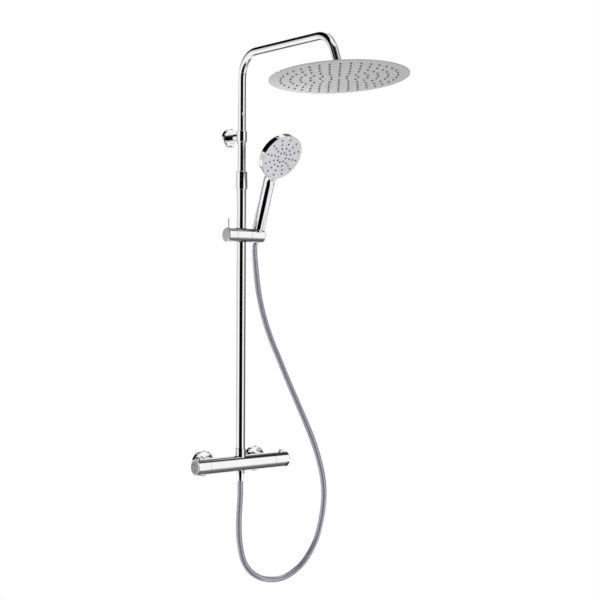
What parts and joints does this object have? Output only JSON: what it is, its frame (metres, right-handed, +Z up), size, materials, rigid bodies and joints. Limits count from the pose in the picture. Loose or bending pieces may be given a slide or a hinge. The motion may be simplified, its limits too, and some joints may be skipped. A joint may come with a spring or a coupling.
{
  "type": "rainfall shower column",
  "caption": "Wall-mounted thermostatic shower column with a telescopic riser, a round rain head on an overhead arm and a hand shower on a sliding holder.",
  "frame": {"origin": "on the wall plane, midway between the two inlets, at the height of the valve axis", "axes": "+X along the wall to the user's right, +Y into the wall, +Z up"},
  "size_m": [0.3432, 0.5994, 1.2705],
  "materials": {
    "chrome": "polished chrome plate",
    "chrome_plastic": "chrome-plated plastic, polished",
    "head_steel": "satin stainless steel",
    "mesh_steel": "plain stainless steel",
    "brass": "turned brass",
    "face_plastic": "satin light grey plastic",
    "nozzle_rubber": "matte silicone",
    "rubber": "black seal rubber",
    "plastic_dark": "moulded",
    "plastic_light": "moulded",
    "hose_skin": "silver-grey smooth hose"
  },
  "bodies": {
    "column": {"mixer_body": "chrome", "s_union_hot": "brass", "s_union_cold": "brass", "rosette_hot": "chrome", "rosette_cold": "chrome", "union_nut_hot": "chrome", "union_nut_cold": "chrome", "inlet_washers": "rubber", "inlet_filters": "mesh_steel", "non_return_valves": "plastic_dark", "flow_cartridge": "plastic_light", "thermostat_cartridge": "brass", "riser_union_nut": "chrome", "riser_lower_tube": "chrome", "riser_coupling": "chrome", "riser_collet": "plastic_dark", "bracket_hanger_bolt": "mesh_steel", "bracket_rosette": "chrome", "bracket_arm": "chrome", "bracket_grub_screw": "mesh_steel", "hose_lower_nut": "chrome", "hose_washer": "rubber", "shower_hose": "hose_skin"},
    "flow_control": {"flow_knob": "chrome", "flow_spindle": "brass"},
    "flow_stop": {"flow_button": "chrome"},
    "temperature_control": {"temperature_knob": "chrome", "temperature_spindle": "brass"},
    "temperature_stop": {"temperature_button": "chrome"},
    "riser_lock": {"riser_lock_nut": "chrome"},
    "riser_guide": {"riser_guide_bush": "plastic_light", "riser_o_rings": "rubber"},
    "overhead_arm": {"overhead_arm": "chrome", "arm_ball_stud": "chrome"},
    "ball_seat": {"ball_seat": "plastic_light"},
    "rain_head": {"head_swivel_cup": "chrome", "head_back": "head_steel", "head_face": "head_steel", "head_nozzles": "nozzle_rubber", "head_flow_disc": "plastic_dark"},
    "slider": {"slider_body": "chrome", "slider_bush": "plastic_dark"},
    "slider_clamp": {"slider_clamp_knob": "chrome", "clamp_lever": "chrome"},
    "holder": {"handset_holder": "chrome"},
    "hand_shower": {"handset_shell": "chrome_plastic", "handset_face": "face_plastic", "handset_nozzles": "nozzle_rubber", "hose_cone_nut": "chrome", "handset_washer": "rubber"}
  },
  "joints": [
    {"name": "flow_turn", "type": "hinge", "parent": "column", "child": "flow_control", "pos_m": [0, -0.052, 0], "axis": [1, 0, 0], "range_deg": [-90, 90]},
    {"name": "flow_stop_press", "type": "slide", "parent": "flow_control", "child": "flow_stop", "axis": [0, 0, -1], "range_m": [0, 0.002], "stiffness_N_per_m": 400, "springref_m": -0.0015},
    {"name": "temperature_turn", "type": "hinge", "parent": "column", "child": "temperature_control", "pos_m": [0, -0.052, 0], "axis": [1, 0, 0], "range_deg": [-170, 80]},
    {"name": "temperature_stop_press", "type": "slide", "parent": "temperature_control", "child": "temperature_stop", "axis": [0, 0, -1], "range_m": [0, 0.002], "stiffness_N_per_m": 400, "springref_m": -0.0015},
    {"name": "riser_lock_turn", "type": "hinge", "parent": "column", "child": "riser_lock", "pos_m": [0, -0.052, 0], "axis": [0, 0, 1], "range_deg": [0, 270]},
    {"name": "riser_height", "type": "slide", "parent": "column", "child": "riser_guide", "axis": [0, 0, 1], "range_m": [-0.1, 0.1]},
    {"name": "arm_swivel", "type": "hinge", "parent": "riser_guide", "child": "overhead_arm", "pos_m": [0, -0.052, 0], "axis": [0, 0, 1], "range_deg": [-45, 45]},
    {"name": "head_tilt", "type": "hinge", "parent": "overhead_arm", "child": "ball_seat", "pos_m": [0, -0.41541, 0.89851], "axis": [1, 0, 0], "range_deg": [-8, 8]},
    {"name": "head_rock", "type": "hinge", "parent": "ball_seat", "child": "rain_head", "pos_m": [0, -0.41541, 0.89851], "axis": [0, 0.9959, -0.0906], "range_deg": [-8, 8]},
    {"name": "slider_height", "type": "slide", "parent": "column", "child": "slider", "axis": [0, 0, 1], "range_m": [-0.25, 0.08], "deforming": ["shower_hose"]},
    {"name": "clamp_turn", "type": "hinge", "parent": "slider", "child": "slider_clamp", "pos_m": [0, -0.052, 0.545], "axis": [1, 0, 0], "range_deg": [0, 90]},
    {"name": "holder_tilt", "type": "hinge", "parent": "slider", "child": "holder", "pos_m": [0, -0.052, 0.545], "axis": [1, 0, 0], "range_deg": [-8, 30]},
    {"name": "handset_turn", "type": "hinge", "parent": "holder", "child": "hand_shower", "pos_m": [0.045, -0.052, 0.545], "axis": [0, -0.3584, 0.9336], "range_deg": [-40, 40]}
  ]
}
